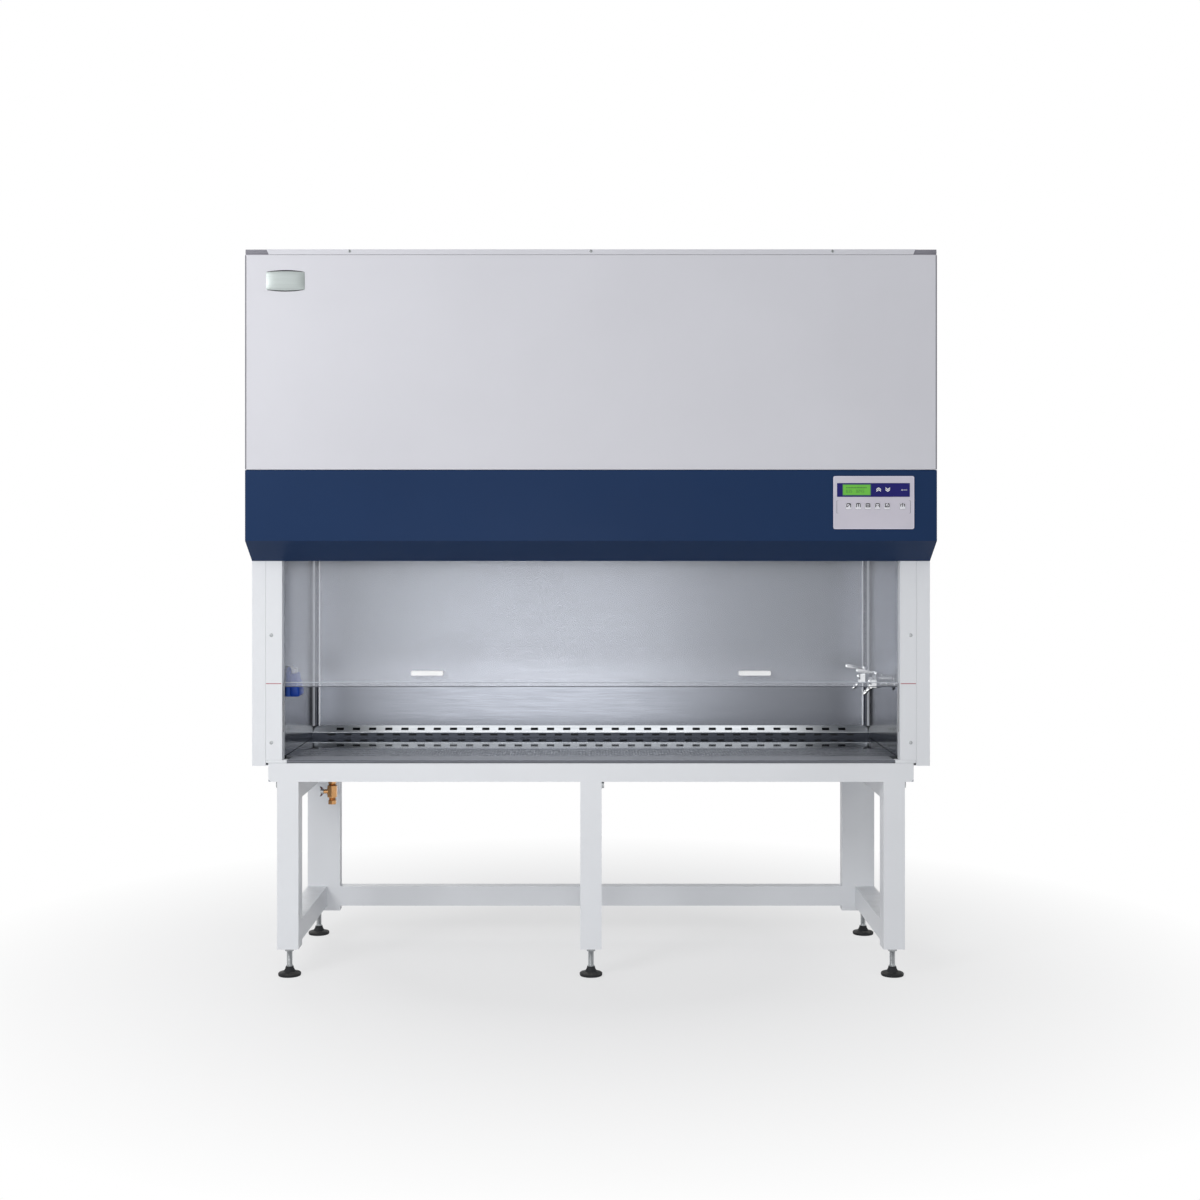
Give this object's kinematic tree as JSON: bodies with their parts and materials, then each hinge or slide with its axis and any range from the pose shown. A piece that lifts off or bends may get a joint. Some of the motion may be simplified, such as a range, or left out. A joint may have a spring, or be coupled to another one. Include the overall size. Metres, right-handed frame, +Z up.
{
  "type": "biosafety cabinet",
  "caption": "Wide class II biosafety cabinet on a tube stand, with a sliding glass sash, slotted air returns, a keypad, wall cocks, a socket and a drain valve.",
  "frame": {"origin": "on the floor below the middle of the cabinet's bounding box", "axes": "+X to the right seen from the front, +Y to the back, +Z up"},
  "size_m": [1.9, 0.79, 2.08],
  "materials": {
    "white_paint": "powder coat, fine orange peel",
    "grey_panel": "pale grey powder coat",
    "blue_paint": "navy blue powder coat, satin",
    "stainless": "brushed 304, grain left to right",
    "galvanised": "plain galvanised sheet",
    "sash_glass": "laminated safety glass",
    "aluminium": "satin anodised",
    "white_plastic": "moulded, satin",
    "panel_plastic": "pale grey membrane sheet",
    "key_plastic": "domed membrane keys",
    "display_glass": "green LCD window",
    "filter_media": "pleated glass paper in a frame",
    "motor_paint": "black enamel",
    "lamp_glass": "opal lamp tube",
    "chrome": "polished chrome plate",
    "brass": "cast and machined brass",
    "handle_red": "dipped vinyl",
    "blue_plastic": "translucent blue polycarbonate",
    "black_rubber": "moulded rubber foot",
    "black_plastic": "moulded black plastic",
    "zinc": "bright zinc plate",
    "cable_steel": "stranded steel wire"
  },
  "bodies": {
    "cabinet": {"front_legs": "white_paint", "rear_legs": "white_paint", "stand_rails": "white_paint", "levelling_feet": "black_rubber", "leg_bolts": "zinc", "base_pan": "stainless", "front_beam": "white_paint", "armrest_lip": "stainless", "front_grille": "stainless", "work_tray": "stainless", "rear_slot_panel": "stainless", "back_wall": "stainless", "side_wall_left": "stainless", "side_wall_right": "stainless", "ceiling_diffuser": "stainless", "outer_side_left": "white_paint", "outer_side_right": "white_paint", "rear_cover": "white_paint", "post_cover_left": "white_paint", "post_cover_right": "white_paint", "sash_rails": "aluminium", "panel_screws": "zinc", "upper_front_panel": "grey_panel", "blue_fascia": "blue_paint", "control_panel": "panel_plastic", "display_window": "display_glass", "top_cover": "grey_panel", "exhaust_guard": "stainless", "supply_filter": "filter_media", "exhaust_filter": "filter_media", "plenum_box": "galvanised", "blower_housing": "galvanised", "blower_motor": "motor_paint", "lamp_channel": "white_paint", "lamp_tubes": "lamp_glass", "electrical_box": "galvanised", "power_inlet": "black_plastic", "drain_valve": "brass", "cock_bodies": "chrome", "socket_box": "white_plastic", "shaft_brackets": "galvanised", "sash_motor": "motor_paint", "sash_cables": "cable_steel"},
    "sash": {"sash_glass": "sash_glass", "sash_trims": "aluminium", "sash_handles": "white_plastic"},
    "lifting_shaft": {"sash_shaft": "zinc"},
    "fan_wheel": {"blower_wheel": "galvanised"},
    "drain_lever": {"drain_handle": "handle_red"},
    "front_cock_lever": {"cock_lever_front": "chrome"},
    "rear_cock_lever": {"cock_lever_rear": "chrome"},
    "splash_cover": {"socket_cover": "blue_plastic"},
    "key_1_cap": {"key_1": "key_plastic"},
    "key_2_cap": {"key_2": "key_plastic"},
    "key_3_cap": {"key_3": "key_plastic"},
    "key_4_cap": {"key_4": "key_plastic"},
    "key_5_cap": {"key_5": "key_plastic"},
    "key_6_cap": {"key_6": "key_plastic"},
    "key_up_cap": {"key_up": "key_plastic"},
    "key_down_cap": {"key_down": "key_plastic"}
  },
  "joints": [
    {"name": "sash_slide", "type": "slide", "parent": "cabinet", "child": "sash", "axis": [0, 0, 1], "range_m": [-0.2, 0.3], "deforming": ["sash_cables"]},
    {"name": "shaft_turn", "type": "hinge", "parent": "cabinet", "child": "lifting_shaft", "pos_m": [0, -0.2343, 1.85], "axis": [1, 0, 0], "range_deg": [-720, 720]},
    {"name": "fan_spin", "type": "hinge", "parent": "cabinet", "child": "fan_wheel", "pos_m": [0, 0.2, 1.64], "axis": [0, 1, 0], "continuous": true},
    {"name": "drain_turn", "type": "hinge", "parent": "cabinet", "child": "drain_lever", "pos_m": [-0.763, -0.22, 0.512], "axis": [1, 0, 0], "range_deg": [0, 90]},
    {"name": "front_cock_turn", "type": "hinge", "parent": "cabinet", "child": "front_cock_lever", "pos_m": [0.824, -0.145, 0.84], "axis": [0, 0, 1], "range_deg": [0, 90]},
    {"name": "rear_cock_turn", "type": "hinge", "parent": "cabinet", "child": "rear_cock_lever", "pos_m": [0.824, 0.052, 0.84], "axis": [0, 0, 1], "range_deg": [0, 90]},
    {"name": "splash_cover_hinge", "type": "hinge", "parent": "cabinet", "child": "splash_cover", "pos_m": [-0.868, -0.15, 0.859], "axis": [0, -1, 0], "range_deg": [0, 110]},
    {"name": "key_1_press", "type": "slide", "parent": "cabinet", "child": "key_1_cap", "axis": [0, 1, 0], "range_m": [0, 0.0005], "stiffness_N_per_m": 800, "springref_m": -0.0004},
    {"name": "key_2_press", "type": "slide", "parent": "cabinet", "child": "key_2_cap", "axis": [0, 1, 0], "range_m": [0, 0.0005], "stiffness_N_per_m": 800, "springref_m": -0.0004},
    {"name": "key_3_press", "type": "slide", "parent": "cabinet", "child": "key_3_cap", "axis": [0, 1, 0], "range_m": [0, 0.0005], "stiffness_N_per_m": 800, "springref_m": -0.0004},
    {"name": "key_4_press", "type": "slide", "parent": "cabinet", "child": "key_4_cap", "axis": [0, 1, 0], "range_m": [0, 0.0005], "stiffness_N_per_m": 800, "springref_m": -0.0004},
    {"name": "key_5_press", "type": "slide", "parent": "cabinet", "child": "key_5_cap", "axis": [0, 1, 0], "range_m": [0, 0.0005], "stiffness_N_per_m": 800, "springref_m": -0.0004},
    {"name": "key_6_press", "type": "slide", "parent": "cabinet", "child": "key_6_cap", "axis": [0, 1, 0], "range_m": [0, 0.0005], "stiffness_N_per_m": 800, "springref_m": -0.0004},
    {"name": "key_up_press", "type": "slide", "parent": "cabinet", "child": "key_up_cap", "axis": [0, 1, 0], "range_m": [0, 0.0005], "stiffness_N_per_m": 800, "springref_m": -0.0004},
    {"name": "key_down_press", "type": "slide", "parent": "cabinet", "child": "key_down_cap", "axis": [0, 1, 0], "range_m": [0, 0.0005], "stiffness_N_per_m": 800, "springref_m": -0.0004}
  ],
  "couplings": [
    {"joint": "shaft_turn", "follows": "sash_slide", "rad_per_m": -37.037}
  ]
}
